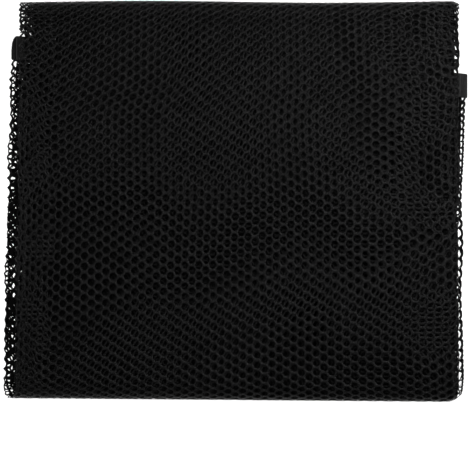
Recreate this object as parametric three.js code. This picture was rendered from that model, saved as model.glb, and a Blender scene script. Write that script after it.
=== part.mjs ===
// A balcony safety net, folded into a flat pack and lying on a surface.
//
// The net is one long sheet with a woven tape sewn along one long edge. It is folded back and forth
// across its length into eight layers. The layered strip then turns under at the near end and at
// the far end of the pack, so that sixteen layers lie on each other and the taped edge shows at
// both sides. X runs along the net's length, Y away from the viewer and Z up.
import * as THREE from "three";

// Driving dimensions in millimetres: the folded pack, the sheet and the space between its layers
const PACK_WIDTH = 383.6;
const PACK_DEPTH = 330.4;
const SHEET = 1.0;
const FOLD_GAP = 0.3;
const CORE_GAP = 1.6;
const LAYERS = 8;

// The tape, whose outer edge lies askew under the pack, and the net's hidden edge beyond it
const TAPE_WIDTH = 20;
const TAPE_SEAM = 0.3;
const TAPE_EDGE_AT_CENTRE = 121.9;
const TAPE_SLOPE = -0.084;
const TAPE_CORNER = 3.6;
const HIDDEN_EDGE_SPACE = 6;

// How far the net's end is tucked in under the first layer
const TUCK = 42;

// Unevenness: the slant of the near end, the swell of the top and the ripple of the fold lines
const NEAR_END_SLANT = 3.2;
const SWELL = 2.2;
const SWELL_CROWN = 0.65;
const SWELL_WAVE = 0.25;
const SWELL_WAVE_X = 52;
const SWELL_WAVE_Y = 44;
const RIPPLE = 1.0;
const RIPPLES = 2.6;
const RIPPLE_SHIFT = 2.3;

// Steps of the mesh. The stops across a layer are fractions of its width, and the depths of the
// layers shift between the first two.
const FLAP_STEPS = 7;
const BEND_STEPS = 6;
const TOP_STEPS = 9;
const HIDDEN_STEPS = 2;
const TAPE_STEPS = 4;
const TURN_STEPS = 4;
const ACROSS = [0.12, 0.32, 0.66];

// Each row is one turn of the back-and-forth fold, in order along the net. The columns say how far
// inside the pack's box the turn lies, going round the pack: at the tape, at the seam, halfway
// along the underside, at the underside's near end, and at the near and far ends of the top.
const TURNS = [
  { side: "left", tape: 6.6, seam: 6.6, flapMiddle: 3.0, flapNear: 0, topNear: 10.8, topFar: 14.2 },
  { side: "right", tape: 0, seam: 1.8, flapMiddle: 5.9, flapNear: 3.8, topNear: 7.4, topFar: 8.2 },
  { side: "left", tape: 9.8, seam: 13.6, flapMiddle: 13.2, flapNear: 11.0, topNear: 14.0, topFar: 26.4 },
  { side: "right", tape: 2.4, seam: 8.6, flapMiddle: 10.6, flapNear: 10.4, topNear: 10.8, topFar: 13.0 },
  { side: "left", tape: 12.6, seam: 15.4, flapMiddle: 14.6, flapNear: 13.2, topNear: 17.4, topFar: 23.8 },
  { side: "right", tape: 1.4, seam: 9.8, flapMiddle: 12.0, flapNear: 9.6, topNear: 12.6, topFar: 11.4 },
  { side: "left", tape: 11.0, seam: 14.6, flapMiddle: 13.8, flapNear: 12.2, topNear: 13.2, topFar: 27.6 },
  { side: "right", tape: 4.8, seam: 9.0, flapMiddle: 13.6, flapNear: 12.2, topNear: 10.2, topFar: 14.6 },
];
const LAST_EDGE = { tape: 17.4, seam: 20.2, flapMiddle: 19.6, flapNear: 16.8, topNear: 19.0, topFar: 30.2 };

const HALF_WIDTH = PACK_WIDTH / 2;
const HALF_DEPTH = PACK_DEPTH / 2;
const TIGHT_PITCH = SHEET + FOLD_GAP;
const LOOSE_PITCH = (TIGHT_PITCH * LAYERS) / (LAYERS - 1);
const TURN_REACH = { left: (TIGHT_PITCH + SHEET) / 2, right: (LOOSE_PITCH + SHEET) / 2 };
const OUTER_RADIUS = CORE_GAP / 2 + LAYERS * TIGHT_PITCH + SHEET;
const MIDDLE_HEIGHT = OUTER_RADIUS;
const TUCK_DISTANCE = OUTER_RADIUS - SHEET / 2 - TIGHT_PITCH;

const mix = (a, b, t) => a + (b - a) * t;
const clamp = (t) => Math.min(1, Math.max(0, t));
const smooth = (t) => t * t * (3 - 2 * t);
const hump = (t) => Math.sin(Math.PI * t) ** 2;

// Lines across the pack, as functions of x
const tapeEdge = (x) => TAPE_EDGE_AT_CENTRE + TAPE_SLOPE * x;
const seam = (x) => tapeEdge(x) - TAPE_WIDTH;
const hiddenEdge = (x) => tapeEdge(x) + HIDDEN_EDGE_SPACE;
const nearBend = (x) => OUTER_RADIUS - HALF_DEPTH + (NEAR_END_SLANT / 2) * (1 - x / HALF_WIDTH);
const FAR_BEND = HALF_DEPTH - OUTER_RADIUS;

// The way round the pack, from the seam under the pack, over the near end, along the top, over the
// far end and under again to the hidden edge. Each part of the way runs from t = 0 to t = 1.
function stepsAlong(part, steps) {
  return Array.from({ length: steps + 1 }, (_, i) => ({ part, t: i / steps }));
}

function placesRoundPack() {
  return [
    ...stepsAlong("flap", FLAP_STEPS),
    ...stepsAlong("nearBend", BEND_STEPS).slice(1, -1),
    ...stepsAlong("top", TOP_STEPS),
    ...stepsAlong("farBend", BEND_STEPS).slice(1, -1),
    ...stepsAlong("hidden", HIDDEN_STEPS),
  ];
}

// How far a turn lies inside the pack's box at a place. Each turn has a ripple of its own.
function insetOf(row, number, { part, t }) {
  const ripple = RIPPLE * Math.sin(RIPPLE_SHIFT * number + 2 * Math.PI * RIPPLES * t) * hump(t);
  switch (part) {
    case "tape":
      return row.tape + (number === 0 ? TAPE_CORNER * (1 - t) ** 3 : 0);
    case "flap": {
      const ends = row.seam * (1 - t) * (1 - 2 * t) + row.flapNear * t * (2 * t - 1);
      return ends + row.flapMiddle * 4 * t * (1 - t) + ripple;
    }
    case "nearBend":
      return mix(row.flapNear, row.topNear, smooth(t));
    case "top":
      return mix(row.topNear, row.topFar, t) + ripple;
    default:
      return row.topFar;
  }
}

// How far the top of the pack swells above flat, in long uneven waves
function lift(x, y) {
  const dome = Math.cos((Math.PI * y) / PACK_DEPTH) * Math.cos((Math.PI * x) / PACK_WIDTH);
  const wave = Math.sin(x / SWELL_WAVE_X + y / SWELL_WAVE_Y);
  return SWELL * (1 - SWELL_CROWN + SWELL_CROWN * dome) * (1 - SWELL_WAVE + SWELL_WAVE * wave);
}

// The point at distance r from the middle of the pack's thickness, at a place on the way round
function pointAt(x, r, { part, t }) {
  const angle = Math.PI * t;
  switch (part) {
    case "tape":
      return [x, mix(tapeEdge(x), seam(x), t), MIDDLE_HEIGHT - r];
    case "flap":
      return [x, mix(seam(x) - TAPE_SEAM, nearBend(x), t), MIDDLE_HEIGHT - r];
    case "nearBend": {
      const y = nearBend(x) - r * Math.sin(angle);
      return [x, y, MIDDLE_HEIGHT - r * Math.cos(angle) + lift(x, y) * smooth(t)];
    }
    case "top": {
      const y = mix(nearBend(x), FAR_BEND, t);
      return [x, y, MIDDLE_HEIGHT + r + lift(x, y)];
    }
    case "farBend": {
      const y = FAR_BEND + r * Math.sin(angle);
      return [x, y, MIDDLE_HEIGHT + r * Math.cos(angle) + lift(x, y) * smooth(1 - t)];
    }
    default:
      return [x, mix(FAR_BEND, hiddenEdge(x), t), MIDDLE_HEIGHT - r];
  }
}

// The distance of layer k from the middle of the pack's thickness. At the left the first layer's
// tucked-in end takes a place of its own, so the other layers lie tighter and one place deeper.
function layerDistance(k, across) {
  const depthAtLeft = k === 0 ? 0 : (k + 1) * TIGHT_PITCH;
  const depthAtRight = k * LOOSE_PITCH;
  const shift = smooth(clamp((across - ACROSS[0]) / (ACROSS[1] - ACROSS[0])));
  return OUTER_RADIUS - SHEET / 2 - mix(depthAtLeft, depthAtRight, shift);
}

// One side of a turn: an arc from one layer to the next, bulging to the turn's own side
function turnArc(x, before, here, side, isOutside) {
  const middle = (before + here) / 2;
  const radius = Math.abs(before - here) / 2 + (isOutside ? 1 : -1) * (SHEET / 2);
  const outward = side === "left" ? -1 : 1;
  const arc = [];
  for (let i = 0; i <= TURN_STEPS; i++) {
    const angle = (Math.PI * i) / TURN_STEPS;
    const rise = Math.sign(before - here) * Math.cos(angle);
    arc.push([x + outward * radius * Math.sin(angle), middle + radius * rise]);
  }
  return arc;
}

// The x of each turn's axis at a place on the way round
function turnAxes(place) {
  return TURNS.map((row, number) => {
    const inset = insetOf(row, number, place) + TURN_REACH[row.side];
    return row.side === "left" ? inset - HALF_WIDTH : HALF_WIDTH - inset;
  });
}

// One face of the folded sheet, as points [x, r], from the tucked-in end under the first layer, back
// and forth to the last edge. The first face lies under the tucked-in end, the second on it.
function faceOfSection(place, isFirst) {
  const axes = turnAxes(place);
  const lastX = insetOf(LAST_EDGE, TURNS.length, place) - HALF_WIDTH;
  let isAbove = !isFirst;
  const onFace = (distance) => distance + (isAbove ? 1 : -1) * (SHEET / 2);

  const points = [[axes[0] + TUCK, onFace(TUCK_DISTANCE)]];
  for (let k = 0; k < LAYERS; k++) {
    const { side } = TURNS[k];
    const acrossTurn = side === "left" ? 0 : 1;
    const before = k === 0 ? TUCK_DISTANCE : layerDistance(k - 1, acrossTurn);
    const here = layerDistance(k, acrossTurn);
    const isFalling = here < before;
    points.push(...turnArc(axes[k], before, here, side, isAbove === isFalling));
    isAbove = !isAbove;
    const nextX = k + 1 < LAYERS ? axes[k + 1] : lastX;
    const [leftX, rightX] = side === "left" ? [axes[k], nextX] : [nextX, axes[k]];
    const stops = side === "left" ? ACROSS : [...ACROSS].reverse();
    for (const across of stops) {
      points.push([mix(leftX, rightX, across), onFace(layerDistance(k, across))]);
    }
  }
  points.push([lastX, onFace(layerDistance(LAYERS - 1, 0))]);
  return points;
}

function sectionOutline(place) {
  return [...faceOfSection(place, true), ...faceOfSection(place, false).reverse()];
}

// Sweep the back-and-forth section through the places and close both ends. At an end the two faces
// of the sheet have the same number of points, so the cap is a ribbon between them.
function sweep(places) {
  const outlines = places.map(sectionOutline);
  const count = outlines[0].length;
  const lastRing = (places.length - 1) * count;
  const positions = [];
  outlines.forEach((outline, i) => {
    for (const [x, r] of outline) positions.push(...pointAt(x, r, places[i]));
  });
  const faces = [];
  for (let start = 0; start < lastRing; start += count) {
    for (let j = 0; j < count; j++) {
      const a = start + j;
      const b = start + ((j + 1) % count);
      faces.push(a, b, a + count, b, b + count, a + count);
    }
  }
  for (let j = 0; j + 1 < count / 2; j++) {
    const a = j;
    const b = j + 1;
    const c = count - 1 - j;
    const d = count - 2 - j;
    faces.push(a, d, b, a, c, d);
    faces.push(lastRing + a, lastRing + b, lastRing + d, lastRing + a, lastRing + d, lastRing + c);
  }
  const geometry = new THREE.BufferGeometry();
  geometry.setAttribute("position", new THREE.Float32BufferAttribute(positions, 3));
  geometry.setIndex(faces);
  geometry.computeVertexNormals();
  return geometry;
}

const netCord = new THREE.MeshStandardMaterial({ color: 0x1b1b1c, roughness: 0.8, metalness: 0 });
const wovenTape = new THREE.MeshStandardMaterial({ color: 0x202021, roughness: 0.75, metalness: 0 });

function namedMesh(name, geometry, material) {
  const mesh = new THREE.Mesh(geometry, material);
  mesh.name = name;
  return mesh;
}

const pack = new THREE.Group();
pack.add(namedMesh("net_panel", sweep(placesRoundPack()), netCord));
pack.add(namedMesh("binding_tape", sweep(stepsAlong("tape", TAPE_STEPS)), wovenTape));

export default pack;
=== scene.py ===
"""A black balcony safety net of fine hexagonal mesh, folded into a flat pack.

Every strand of the net and every rib of its edge tape is a mesh that follows the pack's folds.
Lengths are in millimetres until a mesh is made, and the frame is in metres.
"""
import math
from collections import namedtuple

import bpy
import numpy as np
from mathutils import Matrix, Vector


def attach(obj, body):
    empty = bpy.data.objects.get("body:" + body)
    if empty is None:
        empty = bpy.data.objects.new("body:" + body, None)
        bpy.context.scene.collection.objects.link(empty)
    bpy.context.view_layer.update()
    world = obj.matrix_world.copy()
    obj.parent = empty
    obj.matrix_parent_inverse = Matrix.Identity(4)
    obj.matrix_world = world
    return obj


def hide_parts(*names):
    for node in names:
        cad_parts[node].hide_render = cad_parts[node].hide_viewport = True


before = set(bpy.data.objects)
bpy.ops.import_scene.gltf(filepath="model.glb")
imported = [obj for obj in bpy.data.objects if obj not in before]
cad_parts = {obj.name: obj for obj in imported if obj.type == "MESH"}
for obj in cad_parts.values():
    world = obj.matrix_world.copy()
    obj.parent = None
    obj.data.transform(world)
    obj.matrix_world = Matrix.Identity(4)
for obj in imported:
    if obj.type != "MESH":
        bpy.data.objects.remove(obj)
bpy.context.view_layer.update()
MM = 0.001

# The folded pack, its sheet and the space between the layers
PACK_WIDTH = 383.6
PACK_DEPTH = 330.4
SHEET = 1.0
FOLD_GAP = 0.3
CORE_GAP = 1.6
LAYERS = 8
HALF_WIDTH = PACK_WIDTH / 2
HALF_DEPTH = PACK_DEPTH / 2
TIGHT_PITCH = SHEET + FOLD_GAP
OUTER_RADIUS = CORE_GAP / 2 + LAYERS * TIGHT_PITCH + SHEET
MIDDLE_HEIGHT = OUTER_RADIUS

# The layers lie tight at the left, and a little apart from this share of the width on
LOOSE_FROM, LOOSE_OVER = 0.12, 0.2
LOOSE_PITCH = TIGHT_PITCH * LAYERS / (LAYERS - 1)
TURN_REACH = {"left": (TIGHT_PITCH + SHEET) / 2, "right": (LOOSE_PITCH + SHEET) / 2}

# At both bends the layers close up inside the outermost one
BEND_SQUEEZE = 0.88
BEND_CLEARANCE = 0.3

# The tape, whose outer edge lies askew under the pack
TAPE_WIDTH = 20.0
TAPE_EDGE_AT_CENTRE = 121.9
TAPE_SLOPE = -0.084
TAPE_CORNER = 3.6
TAPE_CORNER_POWER = 5
TAPE_HALF = 0.5
TAPE_EDGE_HALF = 0.25
TAPE_SHARES = (0.0, 0.05, 0.15, 0.3, 0.6, 0.95, 1.0)
TAPE_RIB = 2.2
RIB_RELIEF = 0.42

# The net's hidden edge just past the tape, where the rows that reach too far are gathered
HIDDEN_EDGE_SPACE = 6.0
HIDDEN_GATHER = 0.5
KEPT_PAST_BEND = 4.0
EDGE_OVERHANG = 2.5

# The net's end, tucked in under the first layer
TUCK = 42.0
TUCK_GATHER = 0.7

# The near end slants, and its right corner is rounded
NEAR_END_SLANT = 3.2
NEAR_CORNER_X = 172.0
NEAR_CORNER_WIDTH = 15.5
NEAR_CORNER_RISE = 7.3
NEAR_CORNER_POWER = 2.6
NEAR_CORNER_END = 1.2

# The far end waves a little, and its right corner is rounded
FAR_WAVE = 0.8
FAR_WAVE_LENGTH = 297.0
FAR_WAVE_CREST = -75.0
FAR_CORNER_X = 178.0
FAR_CORNER_WIDTH = 6.0
FAR_CORNER_DROP = 2.6

# The top swells in long uneven waves, and every fold line ripples
SWELL = 2.2
SWELL_CROWN = 0.65
SWELL_WAVE = 0.25
SWELL_WAVE_X = 52.0
SWELL_WAVE_Y = 44.0
RIPPLE = 1.0
RIPPLES = 2.6
RIPPLE_SHIFT = 2.3

# How far inside the pack's box each turn of the back-and-forth fold lies, going round the pack
PLACES = ("side", "tape", "seam", "flap_middle", "flap_near", "top_near", "top_far")
TURNS = [
    dict(zip(PLACES, row))
    for row in (
        ("left", 6.6, 6.6, 3.0, 0.0, 10.8, 14.2),
        ("right", 0.0, 3.0, 5.9, 4.4, 7.4, 7.2),
        ("left", 9.8, 13.6, 12.4, 10.6, 14.0, 25.5),
        ("right", 2.4, 5.0, 9.2, 10.4, 10.8, 13.0),
        ("left", 12.6, 12.0, 5.0, 2.8, 17.4, 18.6),
        ("right", 1.4, 9.8, 12.0, 9.6, 12.6, 11.4),
        ("left", 11.0, 13.6, 12.0, 10.0, 13.2, 25.6),
        ("right", 4.8, 9.0, 13.6, 12.2, 10.2, 14.6),
        ("left", 17.4, 20.2, 19.6, 16.8, 19.0, 30.2),
    )
]

# The cell points left and right. Cells are two columns apart in a row, and two rows high.
COLUMN = 6.25
ROW = 4.1
HOLE_RADIUS = 3.1
HOLE_CORNERS = 0.15
HOLE_VARIATION = 0.03
HOLE_NUDGE = 0.1
TURN_NUDGE = 0.25

# The strands stand this high over the sheet's middle, and less round a turn
STRAND_HEIGHT = 0.75
TURN_THINNING = 0.6
THINNING_REACH = 1.0

# Each knot lies a little off the lattice, in columns and rows, in a pattern that never repeats
KNOT_WANDER = 0.02
WANDER_STEPS = (12.9898, 78.233)

# How many columns lie on each layer and in each turn
FIRST_TURN = 0.1
LAYER_COLUMNS = 60.2
TURN_COLUMNS = 0.8
TURN_TO_TURN = LAYER_COLUMNS + TURN_COLUMNS

# Near a turn the columns close up, and the holes more so, because the strands keep their width
TURN_SQUEEZE = {"left": 0.42, "right": 0.45}
SQUEEZE_REACH = {"left": 3.2, "right": 1.8}
NARROWING = 0.28
NARROWING_REACH = 2.6
LENGTHENING = {"left": -0.06, "right": 0.12}
LEFT_TURN_SCALE = 1.1
LEFT_TURN_REACH = 5.0

# How much of this there is on the flap at the left, on the top at the right, and at the far left
FLAP_CLOSING = 0.5
TOP_CLOSING = 0.25
FAR_CLOSING = 0.1
FAR_CLOSING_FROM, FAR_CLOSING_OVER = 0.72, 0.12

# The holes are pulled along one diagonal near the far end and along the other near the near end
SKEW = 0.11
SKEW_MIDDLE = 0.28
SKEW_TILT = 0.15
SKEW_REACH = 0.3
FAR_SKEW = 0.6
FAR_SKEW_FROM, FAR_SKEW_OVER = 0.55, 0.3

# Along the right edge it is the other way round
RIGHT_SKEW = 1.5
RIGHT_SKEW_MIDDLE = 0.55
RIGHT_SKEW_REACH = 0.12
RIGHT_SKEW_FROM, RIGHT_SKEW_OVER = 0.72, 0.2

# The holes are wider at the left, and the top two layers' cells a little wider at the right
HOLE_WIDENING = 0.035
CELL_WIDENING = 0.012
CELL_WIDENING_BOW = 0.006

# How far a turn of the net bulges out, in its own half thickness
TUCKED_BULGE = 2.1
FLAP_BULGE = 3.1
TOP_BULGE = 1.2
SIDE_BULGE = {"left": 3.8, "right": 2.7}
KNOT_BULGE = 0.25

# The parts of the way round the pack from the seam on, with the rows' length on each
FLAP, NEAR_BEND, TOP, FAR_BEND, HIDDEN = range(5)
BEND_SLACK = 6.0
BEND_LENGTH = math.pi * (OUTER_RADIUS + BEND_SLACK)
FLAP_LENGTH = 272.0
TOP_LENGTH = 313.0
HIDDEN_LENGTH = 44.0
LENGTHS = (FLAP_LENGTH, BEND_LENGTH, TOP_LENGTH, BEND_LENGTH, HIDDEN_LENGTH)
STARTS = np.concatenate([[0.0], np.cumsum(LENGTHS)])

# Along the top the rows draw together: steadily, close to the far end, and close to the near end
STEADY_CLOSER = 0.125
FAR_CLOSER, FAR_POWER = 0.3, 18
NEAR_CLOSER, NEAR_POWER = 0.14, 10

# From the third layer on they do so by this share
DEEP_CLOSER = 0.35
DEEP_OVER = 16.0

# Along the flap's right edge the rows are closer near the tape, and wider from here on
FLAP_PITCH = 0.7
FLAP_PITCH_GAIN = 0.52
FLAP_PITCH_AT, FLAP_PITCH_OVER = 0.42, 0.08
FLAP_PITCH_COLUMNS = 18.0

# Over the outermost layer the rows climb to the right, fastest at one crease
TOP_COLUMN = 6.45
CLIMB = 0.012
CLIMB_BOW = 0.00004
CREASE = 1.9
CREASE_WIDTH = 40.0
CREASE_X = 28.0
CREASE_SHIFT = 80.0
CREASE_SHIFT_FROM, CREASE_SHIFT_OVER = 0.55, 0.3

# From the third layer on the rows have waves of their own, as (reach, length in columns)
DEEP_WAVES = ((5.0, 150.0), (2.6, 71.0))
DEEP_WAVE_TURN = 130.0
DEEP_WAVE_COLUMNS = 30.0

# How far each turn shears the net along itself, so that its two faces match or cross
TURN_SHEAR = ROW / 2
SHEAR_REACH = 0.5
FIRST_SHEAR = 0.18
FIRST_SHEAR_WAVE, FIRST_SHEAR_LENGTH = 0.22, 23.0
FIRST_SHEAR_OVER = 26.0
CROSSING = 0.75
CROSSING_AT, CROSSING_OVER = 0.5, 0.18

# The top's columns lean to the left going up, most at the right
LEAN = 0.042
LEAN_FROM, LEAN_OVER = 18.0, 36.0
LEAN_REACH = 24.0

# The second layer's cells lie off the first's by half a cell in the middle: how far up, and where
OFFSET = 0.5
OFFSET_UP = (0.1, 0.3)
OFFSET_LEFT = (16.0, 10.0)
OFFSET_RIGHT = (46.0, 8.0)
OFFSET_COLUMNS = 14.0

# Waves along the fold, as (reach, length, shift): over all layers, the tucked end and both turns
SLIDE = 0.25
SLIDE_LENGTH, SLIDE_COLUMNS = 61.0, 33.0
TUCK_SLIDE = (0.45, 27.0, 1.0)
TUCK_SLIDE_COLUMNS = 2.0
TUCK_DRIFTS = ((1.1, 19.0, 0.0), (1.1, 7.3, 0.0))
TUCK_DRIFT_COLUMNS = 2.5
FIRST_SLIDE = (0.8, 33.0, 0.6)
OUTER_SLIDE = (0.6, 21.0, 0.0)
OUTER_SLIDE_OVER = 60.0
TURN_SLIDE_COLUMNS = 7.0

# The rows lie straight along the tape, and drift from there on
STRAIGHT_OVER = 40.0


def mix(a, b, t):
    return a + (b - a) * t


def smooth(t):
    t = np.clip(t, 0, 1)
    return t * t * (3 - 2 * t)


def rise(value, start, over):
    """From 0 to 1 as the value goes from start to start + over."""
    return smooth((value - start) / over)


def bump(value, middle, reach):
    """1 in the middle, falling to 0 on both sides."""
    return np.exp(-(((value - middle) / reach) ** 2))


def wave(way, reach, length, shift):
    return reach * np.sin(way / length + shift)


def start_of_layer(k):
    """The column at which layer k starts. Turn k lies just before it."""
    return FIRST_TURN + TURN_COLUMNS + k * TURN_TO_TURN


FIRST_COLUMN = FIRST_TURN - TUCK / COLUMN
LAST_COLUMN = start_of_layer(LAYERS - 1) + LAYER_COLUMNS
OUTER_TURN = start_of_layer(1) - TURN_COLUMNS / 2


# Where the edges of the pack and of the net lie
def tape_edge(x):
    return TAPE_EDGE_AT_CENTRE + TAPE_SLOPE * x


def seam(x):
    return tape_edge(x) - TAPE_WIDTH


def hidden_edge(x):
    return tape_edge(x) + HIDDEN_EDGE_SPACE


def near_bend(x):
    along_corner = np.clip((x - NEAR_CORNER_X) / NEAR_CORNER_WIDTH, 0, NEAR_CORNER_END)
    corner = NEAR_CORNER_RISE * along_corner**NEAR_CORNER_POWER
    return OUTER_RADIUS - HALF_DEPTH + NEAR_END_SLANT / 2 * (1 - x / HALF_WIDTH) + corner


def far_bend(x):
    waving = FAR_WAVE * np.cos(2 * np.pi * (x - FAR_WAVE_CREST) / FAR_WAVE_LENGTH)
    corner = FAR_CORNER_DROP * np.clip((x - FAR_CORNER_X) / FAR_CORNER_WIDTH, 0, 1) ** 2
    return HALF_DEPTH - OUTER_RADIUS + waving - corner


def lift(x, y):
    """How far the top of the pack swells above flat."""
    dome = np.cos(np.pi * y / PACK_DEPTH) * np.cos(np.pi * x / PACK_WIDTH)
    waving = np.sin(x / SWELL_WAVE_X + y / SWELL_WAVE_Y)
    return SWELL * (1 - SWELL_CROWN + SWELL_CROWN * dome) * (1 - SWELL_WAVE + SWELL_WAVE * waving)


# The turns at both sides
def place_of(way):
    """The part of the way round the pack at each distance from the seam, and how far along it."""
    part = np.clip(np.searchsorted(STARTS, way, side="right") - 1, FLAP, HIDDEN)
    t = (way - STARTS[part]) / np.take(LENGTHS, part)
    return part, t


def inset_of(number, part, t):
    """How far a turn lies inside the pack's box. Each turn has a ripple of its own."""
    row = TURNS[number]
    waving = np.sin(RIPPLE_SHIFT * number + 2 * np.pi * RIPPLES * t)
    ripple = RIPPLE * waving * np.sin(np.pi * np.clip(t, 0, 1)) ** 2
    ends = row["seam"] * (1 - t) * (1 - 2 * t) + row["flap_near"] * t * (2 * t - 1)
    flap = ends + row["flap_middle"] * 4 * t * (1 - t) + ripple
    near = mix(row["flap_near"], row["top_near"], smooth(t))
    top = mix(row["top_near"], row["top_far"], t) + ripple
    far = np.full_like(t, row["top_far"])
    return np.choose(part, [flap, near, top, far, far])


def bulge_of(number, part, t):
    """How far a turn bulges. The outermost layer's right turn stands out under the pack only."""
    knots = 1 + KNOT_BULGE * np.cos(np.pi * t * np.take(LENGTHS, part) / ROW)
    if number == 0:
        return TUCKED_BULGE * knots
    if number > 1:
        return SIDE_BULGE[TURNS[number]["side"]]
    near = mix(FLAP_BULGE, TOP_BULGE, smooth(t))
    top = TOP_BULGE * knots
    return np.choose(part, [np.full_like(t, FLAP_BULGE), near, top, top, top])


def turn_axis(side, inset):
    """The x of a turn's axis, where the turn lies that far inside the pack's box."""
    from_side = inset + TURN_REACH[side]
    return from_side - HALF_WIDTH if side == "left" else HALF_WIDTH - from_side


def axis_of(number, part, t):
    return turn_axis(TURNS[number]["side"], inset_of(number, part, t))


def from_turn(column):
    """How many columns each column lies past the middle of the nearest turn."""
    past_first = column - FIRST_TURN - TURN_COLUMNS / 2
    return (past_first + TURN_TO_TURN / 2) % TURN_TO_TURN - TURN_TO_TURN / 2


def closing(part, t):
    """How much the net closes up at its left and right turns, from 0 to 1, round the pack."""
    whole = np.ones_like(t)
    far = FAR_CLOSING * whole
    top_left = mix(1, FAR_CLOSING, rise(t, FAR_CLOSING_FROM, FAR_CLOSING_OVER))
    left = [FLAP_CLOSING * whole, mix(FLAP_CLOSING, 1, smooth(t)), top_left, far, far]
    right = [whole, mix(1, TOP_CLOSING, smooth(t))] + [TOP_CLOSING * whole] * 3
    return {"left": np.choose(part, left), "right": np.choose(part, right)}


# The section across the pack
def layer_distance(k, across):
    """The distance of layer k from the middle of the pack's thickness. Layer -1 is the tuck."""
    if k < 0:
        return np.full_like(across, OUTER_RADIUS - SHEET / 2 - TIGHT_PITCH)
    at_left = 0 if k == 0 else (k + 1) * TIGHT_PITCH
    loose = rise(across, LOOSE_FROM, LOOSE_OVER)
    return OUTER_RADIUS - SHEET / 2 - mix(at_left, k * LOOSE_PITCH, loose)


def squeezed(across, closed):
    """Across a layer, with the columns closed up at both turns."""
    left, right = (SQUEEZE_REACH[side] / LAYER_COLUMNS for side in ("left", "right"))
    left_depth = TURN_SQUEEZE["left"] * closed["left"] * left
    right_depth = TURN_SQUEEZE["right"] * closed["right"] * right
    at_left = left_depth * (np.exp(-across / left) - 1)
    at_right = right_depth * np.exp((across - 1) / right)
    return (across + at_left - at_right) / (1 - left_depth - right_depth)


def widening(across):
    """The top two layers' cells are wider towards the right."""
    bow = CELL_WIDENING_BOW * np.sin(2 * np.pi * across)
    return across - CELL_WIDENING * np.sin(np.pi * across) + bow


def across_section(column, off, axes, bulges, closed):
    """x and distance from the pack's middle on the back-and-forth section.

    off is the points' height over the sheet's middle.
    """
    x = np.zeros_like(column)
    r = np.zeros_like(column)
    tucked = column <= FIRST_TURN
    x[tucked] = (axes[0] - (column - FIRST_TURN) * COLUMN * TUCK_GATHER)[tucked]
    r[tucked] = (layer_distance(-1, column) - off)[tucked]
    for k in range(LAYERS):
        start = start_of_layer(k)
        side = TURNS[k]["side"]
        left_x, right_x = (axes[k], axes[k + 1]) if side == "left" else (axes[k + 1], axes[k])
        up = 1 if side == "left" else -1
        on_layer = (column > start) & (column <= start + LAYER_COLUMNS)
        share = (column - start) / LAYER_COLUMNS
        across = np.clip(share if side == "left" else 1 - share, 0, 1)
        placed = squeezed(widening(across) if k < 2 else across, closed)
        x[on_layer] = mix(left_x, right_x, placed)[on_layer]
        r[on_layer] = (layer_distance(k, across) + up * off)[on_layer]

        turning = (column > start - TURN_COLUMNS) & (column <= start)
        angle = np.pi * (column - start + TURN_COLUMNS) / TURN_COLUMNS
        at_side = np.full_like(column, 0.0 if side == "left" else 1.0)
        before, after = layer_distance(k - 1, at_side), layer_distance(k, at_side)
        outward = -1 if side == "left" else 1
        falling = np.sign(before - after)
        facing = 1 if k == 0 or side == "right" else -1
        radius = np.abs(before - after) / 2 + facing * off
        x[turning] = (axes[k] + outward * bulges[k] * radius * np.sin(angle))[turning]
        r[turning] = ((before + after) / 2 + falling * radius * np.cos(angle))[turning]
    return x, r


# The way round the pack
def on_pack(x, r, part, t):
    """The point at distance r from the middle of the pack's thickness, round the pack."""
    angle = np.pi * t
    near, far = near_bend(x), far_bend(x)
    outer = OUTER_RADIUS + BEND_CLEARANCE
    bending = (part == NEAR_BEND) | (part == FAR_BEND)
    r = np.where(bending, outer - (outer - r) * (1 - BEND_SQUEEZE * np.sin(angle)), r)
    past = far - t * HIDDEN_LENGTH - hidden_edge(x)
    hidden = hidden_edge(x) + np.where(past < 0, HIDDEN_GATHER * past, past)
    turned = [
        mix(seam(x), near, t),
        near - r * np.sin(angle),
        mix(near, far, t),
        far + r * np.sin(angle),
        hidden,
    ]
    y = np.choose(part, turned)
    swelling = lift(x, y)
    heights = [
        -r,
        -r * np.cos(angle) + swelling * smooth(t),
        r + swelling,
        r * np.cos(angle) + swelling * smooth(1 - t),
        -r,
    ]
    return np.stack([x, y, MIDDLE_HEIGHT + np.choose(part, heights)], axis=-1)


def on_tape(x, r, across_tape):
    """The point on the tape, from its outer edge at 0 to the seam at 1."""
    y = mix(tape_edge(x), seam(x), across_tape)
    return np.stack([x, y, MIDDLE_HEIGHT - r], axis=-1)


def top_run(t):
    """The sum of the row widths along the top, up to t."""
    steady = STEADY_CLOSER / 2 * t**2
    far = FAR_CLOSER * t ** (FAR_POWER + 1) / (FAR_POWER + 1)
    near = NEAR_CLOSER * (1 - (1 - t) ** (NEAR_POWER + 1)) / (NEAR_POWER + 1)
    return t - steady - far - near


def flap_run(t):
    """The sum of the row widths along the flap's right edge, up to t."""
    wider = np.log(1 + np.exp((t - FLAP_PITCH_AT) / FLAP_PITCH_OVER))
    return FLAP_PITCH * t + FLAP_PITCH_GAIN * FLAP_PITCH_OVER * wider


def spaced(run, t):
    """t as the rows' own widths place it."""
    return (run(t) - run(0.0)) / (run(1.0) - run(0.0))


# How the net drifts from layer to layer
def column_above(column):
    """The outermost layer's column that lies over each column of the second layer."""
    return np.clip(OUTER_TURN - np.abs(column - OUTER_TURN), 0, None)


def offset(over, up):
    """How far the second layer lies off the first, in columns."""
    in_middle = rise(over, *OFFSET_LEFT) * (1 - rise(over, *OFFSET_RIGHT))
    return OFFSET * rise(up, *OFFSET_UP) * in_middle


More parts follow.
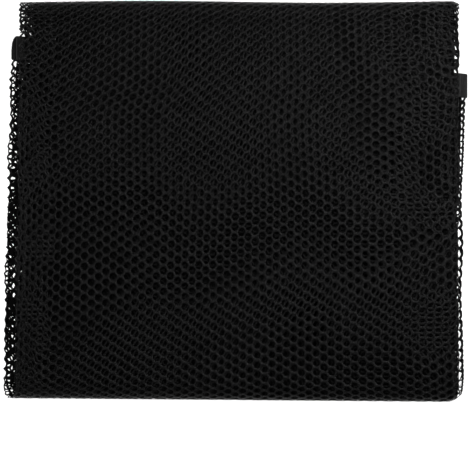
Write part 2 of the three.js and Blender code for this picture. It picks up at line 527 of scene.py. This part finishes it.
def lean_slide(column, up):
    """How many columns the net slides because its columns lean.

    Past the right turn the second layer comes to lie on the first one again, all but the offset.
    """
    over = column_above(column)
    leaning = rise(over, LEAN_FROM, LEAN_OVER)
    again = rise(column, OUTER_TURN, LEAN_REACH)
    lean = LEAN * TOP_LENGTH * up * mix(leaning, -leaning, again) / COLUMN
    return -lean - offset(over, up) * again


def climb(over, up):
    """How far the rows of the top two layers climb to the right."""
    x = np.clip((over - OUTER_TURN / 2) * TOP_COLUMN, -HALF_WIDTH, HALF_WIDTH)
    crease_x = CREASE_X - CREASE_SHIFT * rise(up, CREASE_SHIFT_FROM, CREASE_SHIFT_OVER)
    return CLIMB * x - CLIMB_BOW * x * x / 2 + CREASE * np.tanh((x - crease_x) / CREASE_WIDTH)


def deep_waves(column, way):
    """The waves of the rows from the third layer on."""
    past = column - 2 * OUTER_TURN
    turn = way / DEEP_WAVE_TURN
    waves = sum(
        reach * (np.sin(2 * np.pi * past / length + turn) - np.sin(turn))
        for reach, length in DEEP_WAVES
    )
    return waves * smooth(past / DEEP_WAVE_COLUMNS)


def second_shift(column, way, up, crossing):
    """How far the second layer's rows shift, to lie off the first layer's along a diagonal."""
    over = column_above(column)
    on_top = np.clip(up, 0, 1)
    part, t = place_of(way)
    inward = (axis_of(2, part, t) - axis_of(0, part, t)) / COLUMN * (1 - over / OUTER_TURN)
    apart = inward - lean_slide(over, on_top) - lean_slide(column, on_top)
    return ROW * (crossing - apart) * rise(column, OUTER_TURN, OFFSET_COLUMNS)


def row_drift(column, way):
    """How far the rows have wandered along the net at each place, in millimetres."""
    up = (way - STARTS[TOP]) / TOP_LENGTH
    crossing = CROSSING * bump(up, CROSSING_AT, CROSSING_OVER)
    outer_shear = TURN_SHEAR * (1 - crossing) * np.tanh((column - OUTER_TURN) / SHEAR_REACH)
    waving = FIRST_SHEAR + FIRST_SHEAR_WAVE * np.sin(way / FIRST_SHEAR_LENGTH)
    varied = mix(1, waving, smooth(way / FIRST_SHEAR_OVER))
    first_shear = TURN_SHEAR * varied * np.tanh((column - FIRST_TURN) / SHEAR_REACH)
    tucked = sum(wave(way, *drift) for drift in TUCK_DRIFTS) * smooth(-column / TUCK_DRIFT_COLUMNS)
    deep = deep_waves(column, way) + second_shift(column, way, up, crossing)
    return climb(column_above(column), up) + deep + outer_shear + first_shear + tucked


def column_drift(column, way):
    """How many columns the net has slid sideways at each place."""
    up = np.clip((way - STARTS[TOP]) / TOP_LENGTH, 0, 1)
    waving = SLIDE * np.sin(way / SLIDE_LENGTH + column / SLIDE_COLUMNS)
    overall = waving * np.sin(np.pi * column / LAST_COLUMN)
    tucked = wave(way, *TUCK_SLIDE) * smooth(-column / TUCK_SLIDE_COLUMNS)
    at_first = wave(way, *FIRST_SLIDE) * bump(column, 0, TURN_SLIDE_COLUMNS)
    on_top = rise(way, STARTS[TOP], OUTER_SLIDE_OVER)
    at_outer = on_top * wave(way, *OUTER_SLIDE) * bump(column, OUTER_TURN, TURN_SLIDE_COLUMNS)
    return overall + tucked + at_first + at_outer + lean_slide(column, up)


def sheet_point(column, row, off):
    """The place in the pack of points on the net, given in columns, rows and height."""
    way = row * ROW
    part, t = place_of(way + row_drift(column, way) * smooth(way / STRAIGHT_OVER))
    deep = rise(column, 2 * OUTER_TURN - DEEP_OVER / 2, DEEP_OVER)
    on_top = mix(t, spaced(top_run, np.clip(t, 0, 1)), mix(1, DEEP_CLOSER, deep))
    t = np.where(part == TOP, on_top, t)
    by_right_edge = smooth(1 - np.abs(column - OUTER_TURN) / FLAP_PITCH_COLUMNS)
    t = np.where(part == FLAP, mix(t, spaced(flap_run, t), by_right_edge), t)
    shifted = np.clip(column + column_drift(column, way), FIRST_COLUMN - 1, LAST_COLUMN)
    axes = [axis_of(n, part, t) for n in range(len(TURNS))]
    bulges = [bulge_of(n, part, t) for n in range(len(TURNS))]
    x, r = across_section(shifted, off, axes, bulges, closing(part, t))
    return on_pack(x, r, part, t)


# The cell: six corners and six edge middles round its border, in columns and rows
CORNERS = ((2 / 3, 0), (1 / 3, 1), (-1 / 3, 1), (-2 / 3, 0), (-1 / 3, -1), (1 / 3, -1))
MIDDLES = tuple(
    ((a[0] + b[0]) / 2, (a[1] + b[1]) / 2) for a, b in zip(CORNERS, CORNERS[1:] + CORNERS[:1])
)
FINE_BORDER = np.array([point for pair in zip(CORNERS, MIDDLES) for point in pair])
PLAIN_BORDER = np.array(CORNERS)

# Every point of a border lies on whole sixths of a column and a row
SIXTHS = 6


def cells(first, last, way_from, way_to):
    """Centres of the cells between two columns and two distances from the seam."""
    column, row = np.meshgrid(
        np.arange(math.ceil(first), math.ceil(last)),
        np.arange(math.ceil(way_from / ROW), math.ceil(way_to / ROW)),
    )
    column, row = column.ravel(), row.ravel()
    staggered = (column + row) % 2 == 0
    return column[staggered].astype(float), row[staggered].astype(float)


def skew_at(place):
    """How far the holes are pulled along a diagonal: rising to the right where it is positive."""
    x, up = place[:, 0] / HALF_WIDTH, 0.5 + place[:, 1] / PACK_DEPTH
    stronger = 1 + FAR_SKEW * rise(up, FAR_SKEW_FROM, FAR_SKEW_OVER)
    main = stronger * np.tanh((up - SKEW_MIDDLE - SKEW_TILT * x) / SKEW_REACH)
    at_right = -RIGHT_SKEW * np.tanh((up - RIGHT_SKEW_MIDDLE) / RIGHT_SKEW_REACH)
    return SKEW * mix(main, at_right, rise(x, RIGHT_SKEW_FROM, RIGHT_SKEW_OVER))


def hole_rims(column, row, centre, border, scale):
    """The points round each hole, in columns and rows. No two holes are quite alike."""
    random = np.random.default_rng(len(column))
    around = np.arctan2(border[:, 1] * ROW, border[:, 0] * COLUMN)
    corner = np.hypot(border[:, 1] * ROW, border[:, 0] * COLUMN)
    outline = mix(1.0, corner / corner.mean(), HOLE_CORNERS)
    outline = outline * (1 + skew_at(centre)[:, None] * np.sin(2 * around))
    wider = -HOLE_WIDENING * centre[:, :1] / HALF_WIDTH

    to_turn = np.abs(from_turn(column))[:, None]
    is_left = ((column / TURN_TO_TURN).round() % 2 == 0)[:, None]
    closed_up = closing(*place_of(row * ROW))
    closed = np.where(is_left, closed_up["left"][:, None], closed_up["right"][:, None])
    near_turn = np.exp(-to_turn / NARROWING_REACH) * closed
    longer = np.where(is_left, LENGTHENING["left"], LENGTHENING["right"])
    scale = mix(scale, LEFT_TURN_SCALE, np.where(is_left, bump(to_turn, 0, LEFT_TURN_REACH), 0))
    size = HOLE_RADIUS * random.normal(1, HOLE_VARIATION, (len(column), 1)) * scale
    nudge = random.normal(0, 1, (2, len(column), 1)) * (HOLE_NUDGE + TURN_NUDGE * np.exp(-to_turn))

    half_width = size * (1 - NARROWING * near_turn + wider) * outline * np.cos(around)
    half_height = size * (1 + longer * near_turn - wider) * outline * np.sin(around)
    rim_column = column[:, None] + (half_width + nudge[0]) / COLUMN
    rim_row = row[:, None] + (half_height + nudge[1]) / ROW
    return rim_column.ravel(), rim_row.ravel()


def lattice(column, row, border):
    """The points that neighbouring cells share, in columns and rows, and each cell's own."""
    edge = np.stack([column[:, None] + border[:, 0], row[:, None] + border[:, 1]], axis=-1)
    keys = np.round(edge.reshape(-1, 2) * SIXTHS).astype(np.int64)
    keys, index = np.unique(keys, axis=0, return_inverse=True)
    wander = np.sin(keys * WANDER_STEPS[0] + keys[:, ::-1] * WANDER_STEPS[1])
    points = keys / SIXTHS + KNOT_WANDER * wander
    return points[:, 0], points[:, 1], index.reshape(len(column), len(border))


def next_round(index):
    """The next point round each cell."""
    return np.roll(index, -1, axis=1)


def net_mesh(piece):
    """A piece of the net as one mesh. Its strands are solid, or in the deep layers flat."""
    column, row = cells(*piece.columns, *piece.way)
    centre = sheet_point(column, row, np.zeros(len(column)))
    before_edge = row * ROW < STARTS[HIDDEN] + KEPT_PAST_BEND
    inside = before_edge | (centre[:, 1] > hidden_edge(centre[:, 0]) - EDGE_OVERHANG)
    column, row, centre = column[inside], row[inside], centre[inside]

    rim_column, rim_row = hole_rims(column, row, centre, piece.border, piece.hole_scale)
    rim = sheet_point(rim_column, rim_row, np.zeros(rim_column.size))
    knot_column, knot_row, index = lattice(column, row, piece.border)
    thinning = TURN_THINNING * bump(from_turn(knot_column), 0, THINNING_REACH)
    high = STRAND_HEIGHT * (1 - thinning)
    sides = (high, -high) if piece.solid else (np.zeros_like(high),)
    knots = [sheet_point(knot_column, knot_row, off) for off in sides]
    points = np.concatenate(knots + [rim])
    first_rim = len(points) - len(rim)
    rims = np.arange(len(rim)).reshape(index.shape) + first_rim
    faces = [np.stack([index, next_round(index), next_round(rims), rims], axis=-1)]
    if piece.solid:
        below = index + len(high)
        faces.append(np.stack([next_round(below), below, rims, next_round(rims)], axis=-1))
    faces = np.concatenate([side.reshape(-1, 4) for side in faces])
    is_rim = np.arange(len(points)) >= first_rim
    return mesh_of(piece.name, points, faces, is_rim if piece.solid else None)


def mesh_of(name, points, faces, is_rim=None):
    """An object from points in millimetres and four-sided faces. Edges along rims stay sharp."""
    used, index = np.unique(faces, return_inverse=True)
    mesh = bpy.data.meshes.new(name)
    count = len(faces)
    mesh.vertices.add(len(used))
    mesh.vertices.foreach_set("co", (points[used] * MM).astype(np.float32).ravel())
    mesh.loops.add(count * 4)
    mesh.loops.foreach_set("vertex_index", index.astype(np.int32).ravel())
    mesh.polygons.add(count)
    mesh.polygons.foreach_set("loop_start", np.arange(0, count * 4, 4, dtype=np.int32))
    mesh.update(calc_edges=True)
    mesh.validate()
    mesh.shade_smooth()
    if is_rim is not None:
        ends = np.empty(len(mesh.edges) * 2, dtype=np.int32)
        mesh.edges.foreach_get("vertices", ends)
        sharp = is_rim[used][ends].reshape(-1, 2).all(axis=1)
        mesh.attributes.new("sharp_edge", "BOOLEAN", "EDGE").data.foreach_set("value", sharp)
    return add_object(name, mesh)


def add_object(name, data):
    obj = bpy.data.objects.new(name, data)
    bpy.context.scene.collection.objects.link(obj)
    return obj


def tape_ring(column, relief, face, share):
    """One line of points along the tape, on its upper or lower face."""
    is_edge = share in (0.0, 1.0)
    height = np.full_like(column, TAPE_EDGE_HALF) if is_edge else TAPE_HALF + relief
    corner = TAPE_CORNER * (1 - share) ** TAPE_CORNER_POWER
    axes = []
    for number, turn in enumerate(TURNS):
        inset = turn["tape"] + (corner if number == 0 else 0)
        axes.append(np.full_like(column, turn_axis(turn["side"], inset)))
    bulges = [1] * len(TURNS)
    x, r = across_section(column, face * height, axes, bulges, {"left": 1, "right": 1})
    return on_tape(x, r, share)


def tape_mesh(name):
    """The tape along the whole edge: its ribs run across it, and it follows every fold."""
    count = int((LAST_COLUMN - FIRST_COLUMN) * COLUMN / TAPE_RIB) * 2
    column = np.linspace(FIRST_COLUMN, LAST_COLUMN, count)
    relief = np.where(np.arange(count) % 2 == 0, RIB_RELIEF, -RIB_RELIEF)
    upper = [tape_ring(column, relief, 1, share) for share in TAPE_SHARES]
    lower = [tape_ring(column, relief, -1, share) for share in reversed(TAPE_SHARES)]
    rings = upper + lower
    around = len(rings)
    base = np.arange(count - 1)
    last = count - 1
    faces = []
    for i in range(around):
        a, b = i * count + base, ((i + 1) % around) * count + base
        faces.append(np.stack([a, a + 1, b + 1, b], axis=-1))
    for i in range(len(upper) - 1):
        corners = np.array([i, i + 1, around - 2 - i, around - 1 - i]) * count
        faces.append(corners[None, :])
        faces.append(corners[None, ::-1] + last)
    return mesh_of(name, np.concatenate(rings), np.concatenate(faces))


# Materials
def new_material(name):
    material = bpy.data.materials.new(name)
    material.use_nodes = True
    tree = material.node_tree
    return material, tree, tree.nodes["Principled BSDF"]


def set_inputs(node, values):
    for name, value in values.items():
        node.inputs[name].default_value = value


def add_node(tree, kind, values):
    node = tree.nodes.new(kind)
    set_inputs(node, values)
    return node


def colour_by_noise(tree, shader, vector, noise, *stops):
    """Tones of the base colour, from a noise. Each stop is a position and a colour."""
    tone = add_node(tree, "ShaderNodeTexNoise", noise)
    ramp = tree.nodes.new("ShaderNodeValToRGB")
    for element, (position, colour) in zip(ramp.color_ramp.elements, stops):
        element.position = position
        element.color = (*colour, 1)
    tree.links.new(vector, tone.inputs["Vector"])
    tree.links.new(tone.outputs["Fac"], ramp.inputs["Fac"])
    tree.links.new(ramp.outputs["Color"], shader.inputs["Base Color"])


def add_bumps(tree, shader, height, values):
    """Bumps from the height that a texture gives."""
    bumps = add_node(tree, "ShaderNodeBump", values)
    tree.links.new(height, bumps.inputs["Height"])
    tree.links.new(bumps.outputs["Normal"], shader.inputs["Normal"])


def yarn_material(name, painted_light_share):
    """Black polyester yarn, knitted: near black, with a faint sheen and a fine stitch grain. Below
    1 the share darkens its colour and gloss: painted shade for layers that lie deeper in the pack.
    """
    material, tree, shader = new_material(name)
    place = tree.nodes.new("ShaderNodeTexCoord").outputs["Object"]
    dark = (0.0008 * painted_light_share, 0.0008 * painted_light_share, 0.00085 * painted_light_share)
    light = (0.0017 * painted_light_share, 0.0017 * painted_light_share, 0.0018 * painted_light_share)
    noise = {"Scale": 14, "Detail": 3}
    colour_by_noise(tree, shader, place, noise, (0.35, dark), (0.7, light))
    stitches = add_node(tree, "ShaderNodeTexVoronoi", {"Scale": 1500})
    tree.links.new(place, stitches.inputs["Vector"])
    add_bumps(tree, shader, stitches.outputs["Distance"], {"Strength": 0.8, "Distance": 0.0003})
    set_inputs(shader, {"Roughness": 0.36, "Specular IOR Level": 0.08 * painted_light_share})
    set_inputs(shader, {"Sheen Weight": 0.02, "Sheen Roughness": 0.5})
    return material


def tape_material():
    """Black woven tape: lighter than the net, with tones along its ribs and a fine weave."""
    material, tree, shader = new_material("tape_weave")
    place = tree.nodes.new("ShaderNodeTexCoord").outputs["Object"]
    along_ribs = add_node(tree, "ShaderNodeMapping", {"Scale": (1, 0.1, 1)})
    tree.links.new(place, along_ribs.inputs["Vector"])
    dark, light = (0.0022, 0.0022, 0.0023), (0.0112, 0.0112, 0.0115)
    noise = {"Scale": 520, "Detail": 2}
    colour_by_noise(tree, shader, along_ribs.outputs["Vector"], noise, (0.38, dark), (0.64, light))
    weave = add_node(tree, "ShaderNodeTexWave", {"Scale": 900, "Distortion": 1.5})
    weave.wave_type = "BANDS"
    weave.bands_direction = "Y"
    tree.links.new(place, weave.inputs["Vector"])
    add_bumps(tree, shader, weave.outputs["Fac"], {"Strength": 0.35, "Distance": 0.0002})
    set_inputs(shader, {"Roughness": 0.5, "Specular IOR Level": 0.12})
    return material


def floor_material():
    material, _, shader = new_material("pale_floor")
    set_inputs(shader, {"Base Color": (0.3, 0.3, 0.3, 1), "Emission Color": (1, 1, 1, 1)})
    set_inputs(shader, {"Emission Strength": 0.96, "Roughness": 0.9, "Specular IOR Level": 0.1})
    return material


# The second and deeper layers get darker, less glossy copies of the same yarn: painted shade for
# the light that reaches less far into the pack
YARN = yarn_material("net_yarn", 1.0)
SECOND_YARN_PAINTED_SHADE = yarn_material("net_yarn_second_painted_shade", 0.8)
INNER_YARN_PAINTED_SHADE = yarn_material("net_yarn_inside_painted_shade", 0.44)
WEAVE = tape_material()


def dress(obj, material):
    """Gives a piece its material and its body."""
    obj.data.materials.append(material)
    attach(obj, "root")
    return obj


# The rows start inside the tape, and the two outer pieces meet halfway round the near bend
FROM_TAPE = -8.0
HALFWAY = FLAP_LENGTH + BEND_LENGTH / 2
ALL_ROUND = STARTS[-1]
WHOLE_WAY = (FROM_TAPE, ALL_ROUND)
LAYER_ENDS = [start_of_layer(k) + LAYER_COLUMNS + TURN_COLUMNS / 2 for k in range(LAYERS)]
OUTERMOST = (FIRST_COLUMN, LAYER_ENDS[0])


def layers(first, last):
    """The columns from the end of one layer to the end of another."""
    return LAYER_ENDS[first], LAYER_ENDS[last]


# The net, in pieces of one or two layers. The outermost layer is the one that shows.
Piece = namedtuple("Piece", "name columns way border solid hole_scale yarn")
PIECES = (
    Piece("net_outer_top", OUTERMOST, (HALFWAY, ALL_ROUND), FINE_BORDER, True, 1.0, YARN),
    Piece("net_outer_flap", OUTERMOST, (FROM_TAPE, HALFWAY), FINE_BORDER, True, 1.0, YARN),
    Piece("net_second_layer", layers(0, 1), WHOLE_WAY, PLAIN_BORDER, True, 1.06, SECOND_YARN_PAINTED_SHADE),
    Piece("net_third_layer", layers(1, 2), WHOLE_WAY, PLAIN_BORDER, True, 1.06, INNER_YARN_PAINTED_SHADE),
    Piece("net_middle_layers", layers(2, 4), WHOLE_WAY, PLAIN_BORDER, False, 0.75, INNER_YARN_PAINTED_SHADE),
    Piece("net_inner_layers", layers(4, 6), WHOLE_WAY, PLAIN_BORDER, False, 0.75, INNER_YARN_PAINTED_SHADE),
    Piece("net_innermost_layer", layers(6, 7), WHOLE_WAY, PLAIN_BORDER, False, 0.75, INNER_YARN_PAINTED_SHADE),
)

for net in PIECES:
    piece = dress(net_mesh(net), net.yarn)
    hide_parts("net_panel")

tape = dress(tape_mesh("edge_tape"), WEAVE)
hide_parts("binding_tape")

# The floor, in metres
FLOOR_HALF = 6.0
FLOOR_HEIGHT = -0.0005

floor_mesh = bpy.data.meshes.new("floor")
floor_corners = [
    (x * FLOOR_HALF, y * FLOOR_HALF, FLOOR_HEIGHT) for x, y in ((-1, -1), (1, -1), (1, 1), (-1, 1))
]
floor_mesh.from_pydata(floor_corners, [], [(0, 1, 2, 3)])
floor_mesh.materials.append(floor_material())
floor = add_object("floor", floor_mesh)

# The lights, as (name, place, size, power), all aimed at the middle of the pack
LIGHTS = (
    ("overhead", (0.12, 0.19, 0.55), 0.25, 1.75),
    ("right_window", (0.5, 0.42, 0.6), 0.3, 7.0),
    ("left_window", (-0.75, 0.3, 1.0), 0.6, 5.4),
    ("front_window", (-0.1, -0.9, 0.8), 0.6, 4.5),
)
WORLD_STRENGTH = 0.14

for light_name, place, size, power in LIGHTS:
    light_data = bpy.data.lights.new(light_name, "AREA")
    light_data.shape = "SQUARE"
    light_data.size = size
    light_data.energy = power
    light = add_object(light_name, light_data)
    light.location = place
    light.rotation_euler = (-Vector(place)).to_track_quat("-Z", "Y").to_euler()
    light.visible_camera = False

world = bpy.data.worlds.new("studio")
world.use_nodes = True
set_inputs(world.node_tree.nodes["Background"], {"Color": (1, 1, 1, 1), "Strength": WORLD_STRENGTH})
bpy.context.scene.world = world
bpy.context.scene.view_settings.view_transform = "Standard"

# The camera, straight above the pack as in the photograph
PIXEL = 0.825
PHOTO_SIDE = 470
PACK_CENTRE_PIXEL = (235.5, 201.75)
CAMERA_HEIGHT = 6.0
PACK_TOP = 0.02
SENSOR = 36

camera_data = bpy.data.cameras.new("camera")
camera_data.sensor_width = SENSOR
camera_data.lens = SENSOR * (CAMERA_HEIGHT - PACK_TOP) / (PHOTO_SIDE * PIXEL * MM)
camera_data.clip_end = 100
camera = add_object("camera", camera_data)
camera.location = (
    (PHOTO_SIDE / 2 - PACK_CENTRE_PIXEL[0]) * PIXEL * MM,
    (PACK_CENTRE_PIXEL[1] - PHOTO_SIDE / 2) * PIXEL * MM,
    CAMERA_HEIGHT,
)
bpy.context.scene.camera = camera

bpy.context.view_layer.update()
